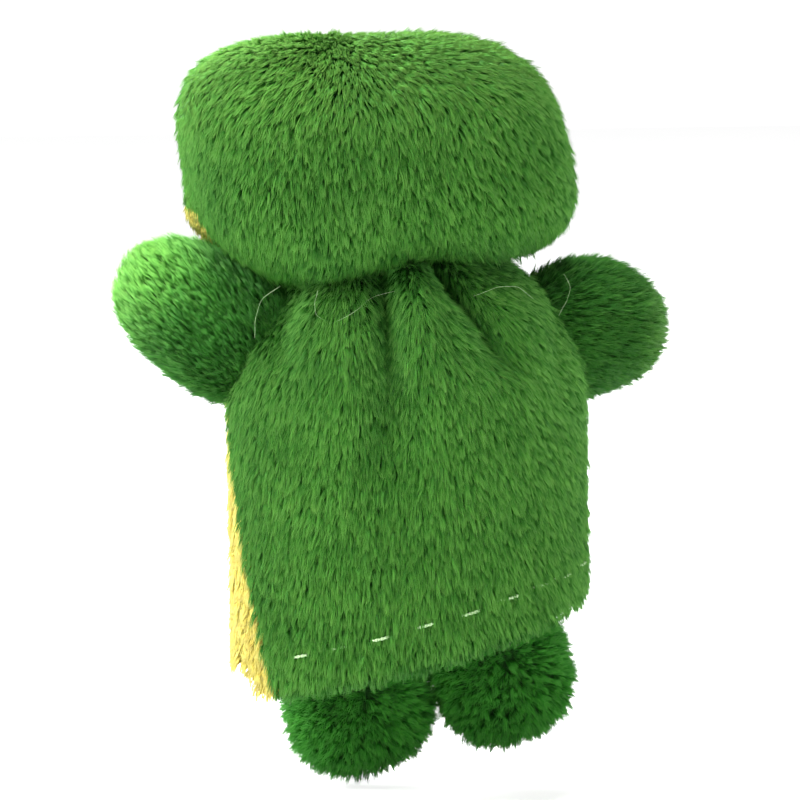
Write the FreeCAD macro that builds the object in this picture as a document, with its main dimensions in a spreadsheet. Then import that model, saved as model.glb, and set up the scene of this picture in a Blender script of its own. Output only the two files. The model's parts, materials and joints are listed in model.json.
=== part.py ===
import FreeCAD, Part
import Sketcher
import math
import os

from FreeCAD import Placement, Rotation, Vector

# Plush finger puppet, in millimetres. +Z is up, the face looks along -Y, the puppet's own left is +X.
# The body is a two-panel tube that is open at its hem, where a finger goes in. Head, arms and feet are
# stuffed covers sewn to that tube. Heights are given from the floor under the feet; the finished puppet
# is then lowered so that its origin is in the middle of the open hem.

DRIVING = {
    # cloth
    "pile_cloth": 2.2,        # thickness of the pile cloth, backing and pile together
    "stuffing_gap": 0.15,     # between a cover and its stuffing
    "thread_radius": 0.25,
    # body tube
    "body_half_width": 19.4,
    "body_half_depth": 12.6,
    "chest_height": 41.0,     # the straight tube ends here and the shoulders begin
    "shoulder_rise": 14.8,
    "hem_height": 14.9,       # the hem's height on the middle line
    "hem_slant": 14.0,        # degrees; the hem hangs lower on the puppet's left
    "hem_turn_up": 4.4,       # height of the edge that is folded inside
    "hem_ply": 0.9,           # thickness of that folded edge
    "seam_ahead": 1.6,        # the side seams lie this far ahead of the middle, from the chest up
    "seam_low_left": 10.4,    # how far back they lie at the floor
    "seam_low_right": -1.6,
    # neck
    "neck_height": 59.8,
    "neck_radius": 7.0,
    "neck_socket_radius": 8.3,
    "gather_radius": 7.0,
    "gather_drop": 2.5,
    "sewing_radius": 7.7,
    "sewing_rise": 0.7,
    # head, measured from the middle of the neck
    "head_width": 42.0,       # at its bottom
    "head_depth": 23.0,
    "head_height": 24.4,
    "head_taper": 0.5,        # degrees; the head widens upwards
    "head_round": 9.8,
    "head_bottom": 3.4,       # below the middle of the neck
    "head_aside": 3.6,
    "head_lean": 2.5,         # degrees; the head leans to the puppet's right
    "face_seam": 0.6,         # the seam between the back and the front of the head, ahead of the middle
    "jaw_rise": 6.8,          # the seam between face and muzzle, above the head's bottom
    # face
    "felt": 0.9,
    "eye_radius": 4.6,
    "eye_aside": 8.6,
    "eye_rise": 17.4,         # above the head's bottom
    "pupil_radius": 2.3,
    "mouth_radius": 15.0,
    "mouth_width": 17.0,
    "mouth_rise": 3.6,
    "thread_ply": 0.5,
    "nostril_aside": 2.1,
    "nostril_rise": 11.6,
    "nostril_radius": 0.55,
    # arms, measured from the middle of the shoulder
    "shoulder_aside": 19.3,
    "shoulder_ahead": 1.6,
    "shoulder_height": 49.0,
    "shoulder_radius": 4.0,
    "arm_socket_radius": 4.8,
    "arm_start": 0.5,
    "arm_end": 12.6,
    "arm_root_half_height": 8.3,
    "arm_tip_half_height": 5.2,
    "arm_half_depth": 5.0,
    "arm_round": 4.5,
    "left_arm_forward": 10.0,   # degrees
    "right_arm_forward": 20.0,
    "left_arm_raise": 23.0,
    "right_arm_raise": -5.0,
    "arm_ring_radius": 4.36,
    "arm_ring_out": 0.6,
    # feet
    "left_foot_half_width": 7.9,
    "right_foot_half_width": 7.3,
    "left_foot_half_height": 6.6,
    "right_foot_half_height": 7.3,
    "foot_half_depth": 4.4,
    "left_foot_aside": 4.2,
    "right_foot_aside": -11.0,
    "foot_back": 0.9,         # middle of the foot behind its seam
    "foot_clear": 0.4,        # between the hem and the top of a foot
    # thread rows
    "stitch_length": 2.9,
    "stitch_pitch": 5.2,
    "hem_stitch_rise": 4.0,
    "whip_radius": 0.15,
    "whip_length": 0.9,
    "whip_pitch": 1.6,
}


def add_sheet(doc):
    sheet = doc.addObject("Spreadsheet::Sheet", "Sizes")
    for row, (alias, value) in enumerate(DRIVING.items(), start=1):
        sheet.set(f"A{row}", alias)
        sheet.set(f"B{row}", str(value))
        sheet.setAlias(f"B{row}", alias)
    doc.recompute()
    return sheet


def bind(obj, **expressions):
    """Ties properties to formulas of the sheet's cells; two underscores stand for a dot."""
    for name, formula in expressions.items():
        obj.setExpression(name.replace("__", "."), formula)
    return obj


def size(sheet, alias):
    """A cell's plain number, for shapes that are set in code."""
    return float(sheet.get(alias))


# ---- generic solids -------------------------------------------------------------------------------


def add_box(doc, name, length, width, height, x, y, z):
    box = doc.addObject("Part::Box", name)
    bind(box, Length=length, Width=width, Height=height)
    return bind(box, Placement__Base__x=x, Placement__Base__y=y, Placement__Base__z=z)


def add_ellipsoid(doc, name, half_x, half_y, half_z, x="0", y="0", z="0"):
    ball = doc.addObject("Part::Ellipsoid", name)
    bind(ball, Radius1=half_z, Radius2=half_x, Radius3=half_y)
    return bind(ball, Placement__Base__x=x, Placement__Base__y=y, Placement__Base__z=z)


def add_sphere(doc, name, radius, z="0"):
    ball = doc.addObject("Part::Sphere", name)
    return bind(ball, Radius=radius, Placement__Base__z=z)


def add_torus(doc, name, ring, tube):
    torus = doc.addObject("Part::Torus", name)
    return bind(torus, Radius1=ring, Radius2=tube)


def cut(doc, name, base, tool):
    result = doc.addObject("Part::Cut", name)
    result.Base, result.Tool = base, tool
    return result


def common(doc, name, base, tool):
    result = doc.addObject("Part::Common", name)
    result.Base, result.Tool = base, tool
    return result


def fuse(doc, name, *shapes):
    result = doc.addObject("Part::MultiFuse", name)
    result.Shapes = list(shapes)
    return result


def add_group(doc, name, solids):
    """Separate small solids that share one name, such as the stitches of one row."""
    group = doc.addObject("Part::Feature", name)
    group.Shape = Part.makeCompound(solids)
    return group


def named(obj, label, placement=None):
    """Marks obj as a finished sub-part."""
    obj.Label = label
    if placement is not None:
        obj.Placement = placement
    return obj


def thread(start, end, radius):
    return Part.makeCylinder(radius, (end - start).Length, start, end - start)


# ---- body tube ------------------------------------------------------------------------------------


def add_tube_form(doc, name, inset):
    """The solid form of the body tube, inset from its outer surface: an elliptic tube under a shoulder dome."""
    half_x, half_y = f"Sizes.body_half_width - {inset}", f"Sizes.body_half_depth - {inset}"
    section = doc.addObject("Part::Ellipse", name + "Section")
    bind(section, MajorRadius=half_x, MinorRadius=half_y)
    tube = doc.addObject("Part::Extrusion", name + "Tube")
    tube.Base, tube.Dir, tube.Solid = section, Vector(0, 0, 1), True
    bind(tube, LengthFwd="Sizes.chest_height")
    ball = add_ellipsoid(doc, name + "Ball", half_x, half_y, f"Sizes.shoulder_rise - {inset}", z="Sizes.chest_height")
    above = add_box(doc, name + "Above", "100", "100", "60", "-50", "-50", "Sizes.chest_height")
    dome = common(doc, name + "Dome", ball, above)
    return fuse(doc, name, tube, dome)


def add_hem_slab(doc, name, height, rise):
    """A slab that is parallel to the slanting hem and whose top lies rise above it."""
    slab = doc.addObject("Part::Box", name)
    bind(slab, Length="100", Width="60", Height=height)
    slab.Placement = Placement(Vector(), Rotation(Vector(0, 1, 0), 1))
    down = f"(({height}) - ({rise}))"
    bind(
        slab,
        Placement__Rotation__Angle="Sizes.hem_slant",
        Placement__Base__x=f"-50 * cos(Sizes.hem_slant * 1 deg) - {down} * sin(Sizes.hem_slant * 1 deg)",
        Placement__Base__y="-30",
        Placement__Base__z=(
            f"Sizes.hem_height + 50 * sin(Sizes.hem_slant * 1 deg) - {down} * cos(Sizes.hem_slant * 1 deg)"
        ),
    )
    return slab


def add_front_region(doc, sheet):
    """All space in front of the side seams, which are upright above the chest and may slant below it."""
    halves = []
    for word, x in (("right", -40.0), ("left", 0.0)):
        top, low = -size(sheet, "seam_ahead"), size(sheet, f"seam_low_{word}")
        profile = [(-40, 0), (low, 0), (top, size(sheet, "chest_height")), (top, 80), (-40, 80)]
        corners = [Vector(x, y, z) for y, z in profile]
        side = Part.Face(Part.makePolygon(corners + corners[:1]))
        halves.append(side.extrude(Vector(40, 0, 0)))
    region = doc.addObject("Part::Feature", "FrontRegion")
    region.Shape = halves[0].fuse(halves[1])
    return region


def add_shoulder_stub(doc, name, side):
    """The round bulge of body cloth that an arm is sewn over."""
    x, y = f"{side} * Sizes.shoulder_aside", "-Sizes.shoulder_ahead"
    ball = doc.addObject("Part::Sphere", name)
    bind(ball, Radius="Sizes.shoulder_radius")
    return bind(
        ball, Placement__Base__x=x, Placement__Base__y=y, Placement__Base__z="Sizes.shoulder_height"
    )


def add_body_panels(doc, sheet):
    outer = add_tube_form(doc, "TubeOuter", "0")
    neck = add_sphere(doc, "NeckStub", "Sizes.neck_radius", "Sizes.neck_height")
    stubs = [add_shoulder_stub(doc, f"{word}Stub", side) for word, side in (("left", 1), ("right", -1))]
    whole = fuse(doc, "BodyWhole", outer, neck, *stubs)
    pocket = add_tube_form(doc, "FingerPocket", "Sizes.pile_cloth")
    tube = cut(doc, "BodyTube", whole, pocket)
    ply_outer = add_tube_form(doc, "TurnUpOuter", "Sizes.pile_cloth")
    ply_inner = add_tube_form(doc, "TurnUpInner", "(Sizes.pile_cloth + Sizes.hem_ply)")
    ply_slab = add_hem_slab(doc, "TurnUpSlab", "60", "Sizes.hem_turn_up")
    turn_up = common(doc, "TurnUp", cut(doc, "TurnUpRing", ply_outer, ply_inner), ply_slab)
    sewn = fuse(doc, "TubeWithTurnUp", tube, turn_up)
    hemmed = cut(doc, "TubeHemmed", sewn, add_hem_slab(doc, "BelowHem", "60", "0"))
    region = add_front_region(doc, sheet)
    return [
        named(cut(doc, "BodyBack", hemmed, region), "body_back_panel"),
        named(common(doc, "BodyFront", hemmed, region), "body_front_panel"),
    ]


def hem_point(sheet, angle, rise, proud):
    """A point proud of the tube's outer surface, on a line that runs rise above the hem."""
    x = (size(sheet, "body_half_width") + proud) * math.cos(math.radians(angle))
    y = (size(sheet, "body_half_depth") + proud) * math.sin(math.radians(angle))
    slope = math.tan(math.radians(size(sheet, "hem_slant")))
    return Vector(x, y, size(sheet, "hem_height") + rise - slope * x)


def add_hem_stitches(doc, sheet, label, first, last):
    """One row of running stitches on the outside of the hem, between two angles round the tube."""
    radius, length = size(sheet, "thread_radius"), size(sheet, "stitch_length")
    rise, proud = size(sheet, "hem_stitch_rise"), size(sheet, "thread_radius") + 0.3
    stitches, angle, step = [], first, 0.25
    while angle < last:
        start = hem_point(sheet, angle, rise, proud)
        end_angle = angle
        while (hem_point(sheet, end_angle, rise, proud) - start).Length < length:
            end_angle += step
        stitches.append(thread(start, hem_point(sheet, end_angle, rise, proud), radius))
        while (hem_point(sheet, end_angle, rise, proud) - start).Length < size(sheet, "stitch_pitch"):
            end_angle += step
        angle = end_angle
    return named(add_group(doc, label + "Row", stitches), label)


def add_side_seam(doc, sheet, label, side):
    """The lock stitches of one side seam, just inside the tube and clear of the folded hem edge."""
    radius, pitch = size(sheet, "thread_radius"), size(sheet, "stitch_length")
    inside = size(sheet, "body_half_width") - size(sheet, "pile_cloth") - size(sheet, "hem_ply") - 2 * radius
    word = "left" if side > 0 else "right"
    top, low = -size(sheet, "seam_ahead"), size(sheet, f"seam_low_{word}")
    chest = size(sheet, "chest_height")
    squeeze = size(sheet, "body_half_depth") / size(sheet, "body_half_width")
    stitches, z = [], size(sheet, "hem_height") + size(sheet, "hem_turn_up") + 2.0
    while z + pitch < chest:
        ends = []
        for height in (z, z + 0.8 * pitch):
            y = low + (top - low) * height / chest
            x = side * math.sqrt(inside**2 - (y / squeeze) ** 2)
            ends.append(Vector(x, y, height))
        stitches.append(thread(ends[0], ends[1], radius))
        z += pitch
    return named(add_group(doc, label + "Row", stitches), label)


# ---- head -----------------------------------------------------------------------------------------


def add_outline(body, name, role, corners, level_lines):
    """A closed four-sided outline on one of the body's own planes; its level lines run along an axis."""
    sketch = body.newObject("Sketcher::SketchObject", name + "Outline")
    plane = next(feature for feature in body.Origin.OriginFeatures if feature.Role == role)
    sketch.AttachmentSupport, sketch.MapMode = [(plane, "")], "FlatFace"
    for (x0, y0), (x1, y1) in zip(corners, corners[1:] + corners[:1]):
        sketch.addGeometry(Part.LineSegment(Vector(x0, y0, 0), Vector(x1, y1, 0)), False)
    for line in range(4):
        sketch.addConstraint(Sketcher.Constraint("Coincident", line, 2, (line + 1) % 4, 1))
    for line, kind in level_lines.items():
        sketch.addConstraint(Sketcher.Constraint(kind, line))
    return sketch


def add_distances(sketch, distances):
    """Bound distances between the sketch's origin and a line's first point, named by word."""
    origin = (-1, 1)
    for word, (kind, line, beyond, formula) in distances.items():
        ends = (*origin, line, 1) if beyond else (line, 1, *origin)
        index = sketch.addConstraint(Sketcher.Constraint(kind, *ends, 5.0))
        sketch.renameConstraint(index, word)
        sketch.setExpression(f"Constraints.{word}", formula)


def add_rounding(doc, body, block, radius):
    """Rounds every edge of a block and makes the result the body's shape."""
    doc.recompute()
    rounding = body.newObject("PartDesign::Fillet", block.Name + "Rounding")
    rounding.Base = (block, [f"Edge{i + 1}" for i in range(len(block.Shape.Edges))])
    bind(rounding, Radius=radius)
    body.Tip = rounding
    return body


def add_head_form(doc, name, grow):
    """The solid form of the head, grown outwards by a distance: a tapered block with every edge rounded."""
    body = doc.addObject("PartDesign::Body", name)
    corners = [(-5.0, -5.0), (5.0, -5.0), (5.0, 5.0), (-5.0, 5.0)]
    levels = {0: "Horizontal", 1: "Vertical", 2: "Horizontal", 3: "Vertical"}
    sketch = add_outline(body, name, "XY_Plane", corners, levels)
    bind(sketch, AttachmentOffset__Base__z=f"-Sizes.head_bottom - ({grow})")
    half_x = f"Sizes.head_width / 2 + ({grow})"
    half_y = f"Sizes.head_depth / 2 + ({grow})"
    distances = {
        "right": ("DistanceX", 0, False, f"{half_x} - Sizes.head_aside"),
        "left": ("DistanceX", 1, True, f"{half_x} + Sizes.head_aside"),
        "front": ("DistanceY", 0, False, half_y),
        "back": ("DistanceY", 2, True, half_y),
    }
    add_distances(sketch, distances)
    pad = body.newObject("PartDesign::Pad", name + "Block")
    pad.Profile = sketch
    bind(pad, Length=f"Sizes.head_height + 2 * ({grow})", TaperAngle="Sizes.head_taper")
    return add_rounding(doc, body, pad, f"Sizes.head_round + ({grow})")


def add_mitten_form(doc, name, grow):
    """The solid form of an arm along +X, grown outwards: tall at the shoulder, lower and round at the hand."""
    body = doc.addObject("PartDesign::Body", name)
    corners = [(1.0, -5.0), (8.0, -3.0), (8.0, 3.0), (1.0, 5.0)]
    sketch = add_outline(body, name, "XZ_Plane", corners, {1: "Vertical", 3: "Vertical"})
    root, tip = f"Sizes.arm_root_half_height + ({grow})", f"Sizes.arm_tip_half_height + ({grow})"
    distances = {
        "start": ("DistanceX", 0, True, f"Sizes.arm_start - ({grow})"),
        "end": ("DistanceX", 1, True, f"Sizes.arm_end + ({grow})"),
        "root_low": ("DistanceY", 0, False, root),
        "tip_low": ("DistanceY", 1, False, tip),
        "tip_high": ("DistanceY", 2, True, tip),
        "root_high": ("DistanceY", 3, True, root),
    }
    add_distances(sketch, distances)
    pad = body.newObject("PartDesign::Pad", name + "Block")
    pad.Profile, pad.Midplane = sketch, True
    bind(pad, Length=f"2 * (Sizes.arm_half_depth + ({grow}))")
    return add_rounding(doc, body, pad, f"Sizes.arm_round + ({grow})")


def head_placement(sheet):
    lean = Rotation(Vector(0, 1, 0), -size(sheet, "head_lean"))
    return Placement(Vector(0, 0, size(sheet, "neck_height")), lean)


def add_cover(doc, name, add_form, socket):
    """A cloth cover and its stuffing, both hollowed round the joint in the middle of their own frame."""
    lining, core = "Sizes.pile_cloth", "Sizes.pile_cloth + Sizes.stuffing_gap"
    outer = cut(doc, name + "Outer", add_form(doc, name + "Form", "0"), add_sphere(doc, name + "Socket", socket))
    hollow = cut(
        doc,
        name + "Hollow",
        add_form(doc, name + "Lining", f"-({lining})"),
        add_sphere(doc, name + "LiningSocket", f"{socket} + {lining}"),
    )
    stuffing = cut(
        doc,
        name + "Stuffing",
        add_form(doc, name + "Core", f"-({core})"),
        add_sphere(doc, name + "CoreSocket", f"{socket} + {core}"),
    )
    return cut(doc, name + "Cover", outer, hollow), stuffing


def add_head(doc, sheet):
    """The three panels of the head, its stuffing and everything on its face."""
    place = head_placement(sheet)
    cover, stuffing = add_cover(doc, "Head", add_head_form, "Sizes.neck_socket_radius")
    front = add_box(doc, "HeadFrontHalf", "100", "50", "100", "-50", "-Sizes.face_seam - 50", "-50")
    front_cover = common(doc, "HeadFrontCover", cover, front)
    jaw_z = "Sizes.jaw_rise - Sizes.head_bottom - 50"
    below = add_box(doc, "BelowJaw", "100", "100", "50", "-50", "-50", jaw_z)
    parts = [
        named(cut(doc, "HeadBack", cover, front), "head_back_panel", place),
        named(cut(doc, "HeadFace", front_cover, below), "head_face_panel", place),
        named(common(doc, "Muzzle", front_cover, below), "muzzle_panel", place),
        named(stuffing, "head_stuffing", place),
    ]
    return parts + add_face(doc, place)


def add_face_layer(doc, name, low, high):
    """A thin layer that follows the head's surface, from low to high above it."""
    upper = add_head_form(doc, name + "Top", high)
    lower = add_head_form(doc, name + "Floor", low)
    return cut(doc, name, upper, lower)


def add_disc(doc, name, radius, aside, rise):
    """A round column along -Y that cuts a disc out of a layer over the face."""
    disc = doc.addObject("Part::Cylinder", name)
    bind(disc, Radius=radius, Height="40")
    disc.Placement = Placement(Vector(), Rotation(Vector(1, 0, 0), 90))
    x, z = f"Sizes.head_aside + {aside}", f"{rise} - Sizes.head_bottom"
    return bind(disc, Placement__Base__x=x, Placement__Base__z=z)


def add_face(doc, place):
    felt_layer = add_face_layer(doc, "FeltLayer", "0", "Sizes.felt")
    pupil_layer = add_face_layer(doc, "PupilLayer", "Sizes.felt", "2 * Sizes.felt")
    thread_layer = add_face_layer(doc, "ThreadLayer", "0", "Sizes.thread_ply")
    parts, columns = [], []
    for word, side in (("left", 1), ("right", -1)):
        aside, rise = f"{side} * Sizes.eye_aside", "Sizes.eye_rise"
        white = add_disc(doc, f"{word}EyeColumn", "Sizes.eye_radius", aside, rise)
        dark = add_disc(doc, f"{word}PupilColumn", "Sizes.pupil_radius", aside, rise)
        parts.append(named(common(doc, f"{word}Eye", felt_layer, white), f"{word}_eye_felt", place))
        parts.append(named(common(doc, f"{word}Pupil", pupil_layer, dark), f"{word}_pupil", place))
        aside, rise = f"{side} * Sizes.nostril_aside", "Sizes.nostril_rise"
        columns.append(add_disc(doc, f"{word}NostrilColumn", "Sizes.nostril_radius", aside, rise))
    nostrils = common(doc, "Nostrils", thread_layer, fuse(doc, "NostrilColumns", *columns))
    parts.append(named(nostrils, "nostril_stitches", place))
    parts.append(named(common(doc, "Mouth", thread_layer, add_mouth_band(doc)), "mouth_stitching", place))
    return parts


def add_mouth_band(doc):
    """A smiling arc seen from the front and deep enough to reach the face; it is lowest in the middle."""
    middle = "Sizes.mouth_rise + Sizes.mouth_radius"
    outer = add_disc(doc, "MouthOuter", "Sizes.mouth_radius + Sizes.thread_radius", "0", middle)
    inner = add_disc(doc, "MouthInner", "Sizes.mouth_radius - Sizes.thread_radius", "0", middle)
    window = add_box(
        doc,
        "MouthWindow",
        "Sizes.mouth_width",
        "60",
        "Sizes.mouth_radius",
        "Sizes.head_aside - Sizes.mouth_width / 2",
        "-60",
        "Sizes.mouth_rise - Sizes.head_bottom - 1",
    )
    return common(doc, "MouthBand", cut(doc, "MouthRing", outer, inner), window)


# ---- neck threads ---------------------------------------------------------------------------------


def add_neck_threads(doc, sheet):
    """The ring that gathers the body's cloth under the neck, and the one that sews the head on above it."""
    parts, neck = [], size(sheet, "neck_height")
    for label, word, rise in (
        ("neck_gather_thread", "gather", -size(sheet, "gather_drop")),
        ("head_sewing_thread", "sewing", size(sheet, "sewing_rise")),
    ):
        ring = add_torus(doc, word.capitalize(), f"Sizes.{word}_radius", "Sizes.thread_radius")
        parts.append(named(ring, label, Placement(Vector(0, 0, neck + rise), Rotation())))
    return parts


# ---- arms and feet --------------------------------------------------------------------------------


def split_cover(doc, name, cover, middle_y):
    """A cover's back and front halves."""
    front = add_box(doc, name + "FrontHalf", "100", "50", "100", "-50", f"{middle_y} - 50", "-50")
    return cut(doc, name + "Back", cover, front), common(doc, name + "Front", cover, front)


def shoulder_placement(sheet, side):
    """The frame of an arm: its +X axis runs from the shoulder to the hand, its -Y axis looks ahead."""
    word = "left" if side > 0 else "right"
    turned = Rotation(Vector(0, 1, 0), 0 if side > 0 else 180)
    lift = Rotation(Vector(0, 1, 0), -side * size(sheet, f"{word}_arm_raise"))
    forward = Rotation(Vector(0, 0, 1), -side * size(sheet, f"{word}_arm_forward"))
    aside, ahead = side * size(sheet, "shoulder_aside"), size(sheet, "shoulder_ahead")
    return Placement(
        Vector(aside, -ahead, size(sheet, "shoulder_height")), forward.multiply(lift).multiply(turned)
    )


def add_arm_ring(doc, name, place):
    """The thread that sews an arm round its shoulder; it stands upright, across the arm."""
    ring = add_torus(doc, name, "Sizes.arm_ring_radius", "Sizes.thread_radius")
    out = doc.Sizes.get("arm_ring_out")
    ring.Placement = place.multiply(Placement(Vector(out, 0, 0), Rotation(Vector(0, 1, 0), 90)))
    return ring


def add_arm(doc, sheet, side):
    word = "left" if side > 0 else "right"
    name, place = f"{word}Arm", shoulder_placement(sheet, side)
    cover, stuffing = add_cover(doc, name, add_mitten_form, "Sizes.arm_socket_radius")
    back, front = split_cover(doc, name, cover, "0")
    return [
        named(back, f"{word}_arm_back_panel", place),
        named(front, f"{word}_arm_front_panel", place),
        named(stuffing, f"{word}_arm_stuffing", place),
        named(add_arm_ring(doc, name + "Ring", place), f"{word}_arm_stitches"),
    ]


def foot_hinge(sheet, side):
    """The middle of a foot's seam, on the front edge of the hem and halfway through its folded cloth."""
    word = "left" if side > 0 else "right"
    x = size(sheet, f"{word}_foot_aside")
    depth = size(sheet, "body_half_depth") - (size(sheet, "pile_cloth") + size(sheet, "hem_ply")) / 2
    y = -depth * math.sqrt(1 - (x / size(sheet, "body_half_width")) ** 2)
    slope = math.tan(math.radians(size(sheet, "hem_slant")))
    return Vector(x, y, size(sheet, "hem_height") - slope * x)


def add_foot(doc, sheet, side):
    word = "left" if side > 0 else "right"
    hinge, slant = foot_hinge(sheet, side), Rotation(Vector(0, 1, 0), size(sheet, "hem_slant"))
    name, place = f"{word}Foot", Placement(hinge, slant)
    middle = ("0", "Sizes.foot_back", f"-Sizes.{word}_foot_half_height - Sizes.foot_clear")
    halves = (f"Sizes.{word}_foot_half_width", "Sizes.foot_half_depth", f"Sizes.{word}_foot_half_height")
    lining = [f"{half} - Sizes.pile_cloth" for half in halves]
    form = add_ellipsoid(doc, name + "Form", *halves, *middle)
    hollow = add_ellipsoid(doc, name + "Hollow", *lining, *middle)
    core = add_ellipsoid(doc, name + "Core", *[f"{half} - Sizes.stuffing_gap" for half in lining], *middle)
    space = add_box(doc, name + "Space", "60", "60", "60", "-30", "-30", "-40")
    stuffing = common(doc, name + "Stuffing", core, space)
    back, front = split_cover(doc, name, cut(doc, name + "Cover", form, hollow), middle[1])
    return [
        named(back, f"{word}_foot_back_panel", place),
        named(front, f"{word}_foot_front_panel", place),
        named(stuffing, f"{word}_foot_stuffing", place),
    ]


def add_foot_stitches(doc, sheet):
    """Two rows of whip stitches between the front hem and the feet, hanging in the narrow gap."""
    slope = math.tan(math.radians(size(sheet, "hem_slant")))
    radius, length, parts = size(sheet, "whip_radius"), size(sheet, "whip_length"), []
    for word, side in (("left", 1), ("right", -1)):
        hinge, stitches = foot_hinge(sheet, side), []
        for step in (-2, -1, 0, 1, 2):
            x = size(sheet, "whip_pitch") * step
            start = hinge + Vector(x, 0, -slope * x - 1.6 * radius)
            stitches.append(thread(start, start + Vector(length, 0, -slope * length), radius))
        parts.append(named(add_group(doc, f"{word}FootRow", stitches), f"{word}_foot_stitches"))
    return parts


# ---- the whole puppet -----------------------------------------------------------------------------


def lower_to_hem(sheet, parts):
    """Puts the origin in the middle of the open hem, where a finger goes in."""
    drop = Placement(Vector(0, 0, -size(sheet, "hem_height")), Rotation())
    for part in parts:
        part.Placement = drop.multiply(part.Placement)


def check(doc, parts):
    for obj in doc.Objects:
        wrong = [state for state in obj.State if state in ("Invalid", "Error")]
        if wrong:
            raise RuntimeError(f"{obj.Name} ({obj.Label}) is {wrong}")
    for part in parts:
        shape = part.Shape
        if shape.isNull() or not shape.isValid() or not shape.Solids:
            raise RuntimeError(f"{part.Label} has no valid solid")
        print(f"{part.Label}: {len(shape.Solids)} solids, {shape.Volume:.1f} mm3")


def main():
    doc = FreeCAD.newDocument("FingerPuppet")
    sheet = add_sheet(doc)
    parts = add_body_panels(doc, sheet)
    parts.append(add_hem_stitches(doc, sheet, "back_hem_stitches", 40.0, 165.0))
    parts.append(add_hem_stitches(doc, sheet, "front_hem_stitches", 200.0, 335.0))
    parts.append(add_side_seam(doc, sheet, "left_side_seam_thread", 1))
    parts.append(add_side_seam(doc, sheet, "right_side_seam_thread", -1))
    parts += add_neck_threads(doc, sheet)
    parts += add_head(doc, sheet)
    for side in (1, -1):
        parts += add_arm(doc, sheet, side)
        parts += add_foot(doc, sheet, side)
    parts += add_foot_stitches(doc, sheet)
    lower_to_hem(sheet, parts)
    doc.recompute()
    check(doc, parts)
    os.makedirs("parts", exist_ok=True)
    for part in parts:
        part.Shape.exportStep(os.path.join("parts", part.Label + ".step"))


main()
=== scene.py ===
import json
import math

import bpy
import numpy as np
from mathutils import Matrix, Vector, kdtree
from mathutils.bvhtree import BVHTree


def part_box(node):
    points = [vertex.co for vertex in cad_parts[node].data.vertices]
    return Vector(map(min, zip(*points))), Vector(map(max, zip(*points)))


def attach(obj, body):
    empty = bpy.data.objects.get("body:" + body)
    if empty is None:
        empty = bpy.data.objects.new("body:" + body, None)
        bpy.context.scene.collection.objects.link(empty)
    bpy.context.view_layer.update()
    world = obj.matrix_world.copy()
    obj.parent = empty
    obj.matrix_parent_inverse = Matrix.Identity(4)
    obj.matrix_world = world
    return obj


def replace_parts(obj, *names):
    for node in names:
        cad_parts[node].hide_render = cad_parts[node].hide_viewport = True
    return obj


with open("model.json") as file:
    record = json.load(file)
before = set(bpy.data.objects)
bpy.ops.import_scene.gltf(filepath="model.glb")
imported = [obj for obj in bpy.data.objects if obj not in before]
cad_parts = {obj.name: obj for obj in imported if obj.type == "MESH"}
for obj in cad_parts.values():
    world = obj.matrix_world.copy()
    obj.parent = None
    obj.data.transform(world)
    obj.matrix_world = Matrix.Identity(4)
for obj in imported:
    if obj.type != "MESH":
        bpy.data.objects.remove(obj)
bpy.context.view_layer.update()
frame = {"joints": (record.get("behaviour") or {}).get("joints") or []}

# A plush finger puppet. Shapes are worked out in millimetres, with heights from the floor. They are
# lowered by LIFT, to the frame's origin in the hem, and stored in metres.
# Each stuffed cover is a skin of cloth with its pile standing on it: every strand is real geometry.

MM = 0.001
UP = np.array([0.0, 0.0, 1.0])
TWO_SIDES = (("left", 1), ("right", -1))

HEM_MIDDLE = 14.9  # the hem's middle, which is the frame's origin, above the floor
LIFT = np.array([0.0, 0.0, HEM_MIDDLE])
HEM_TILT = 14.0
HEM_SLOPE = math.tan(math.radians(HEM_TILT))
BODY_HALF = (18.8, 11.8)
CHEST = 41.0
NECK_TOP = 57.2


def anchor(joint):
    """Where a joint of the record is, in mm from the floor."""
    found = next(j for j in frame["joints"] if j["name"] == joint)
    return np.array(found["pos_m"]) / MM + LIFT


def node_box(node):
    """The corners of a CAD node, in mm from the floor."""
    low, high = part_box(node)
    return np.array(low) / MM + LIFT, np.array(high) / MM + LIFT


NECK = anchor("head_turn")
SHOULDER = {word: anchor(f"{word}_arm_swing") for word in ("left", "right")}
FOOT_SEAM = {word: anchor(f"{word}_foot_swing") for word in ("left", "right")}


# ---- small vector tools ----


def unit(v):
    return v / np.maximum(np.linalg.norm(v, axis=-1, keepdims=True), 1e-9)


def along(v, n):
    """The part of each vector that lies in the surface with normal n, made unit length."""
    return unit(v - (v * n).sum(-1, keepdims=True) * n)


def smooth(x, low, high):
    t = np.clip((x - low) / (high - low), 0.0, 1.0)
    return t * t * (3 - 2 * t)


def bell(x, middle, width):
    return np.exp(-(((x - middle) / width) ** 2))


def signed_power(x, e):
    return np.sign(x) * np.abs(x) ** e


def plain(values):
    """The value that leaves a style's property as it is."""
    return np.ones(len(values))


def waves(p, seed, scale):
    """Smooth noise between about -1 and 1, from a few seeded sine waves; scale is in mm."""
    rng = np.random.default_rng(seed)
    total = np.zeros(len(p))
    for _ in range(7):
        direction = unit(rng.normal(size=3)) * rng.uniform(0.6, 1.6) * 2 * math.pi / scale
        total += np.sin(p @ direction + rng.uniform(0, 2 * math.pi))
    return total / 3.5


def rotation(axis, degrees):
    return np.array(Matrix.Rotation(math.radians(degrees), 3, axis))


# ---- meshes ----


def grid_faces(rows, around):
    """Quads between neighbouring rings of points."""
    faces = []
    for i in range(rows - 1):
        for j in range(around):
            k = (j + 1) % around
            faces.append((i * around + j, i * around + k, (i + 1) * around + k, (i + 1) * around + j))
    return faces


def as_tuples(faces):
    return [tuple(int(i) for i in f) for f in faces]


def padded(faces):
    """Faces as one array: a triangle repeats its last corner to make four."""
    return np.array([f if len(f) == 4 else (*f, f[-1]) for f in faces])


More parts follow.
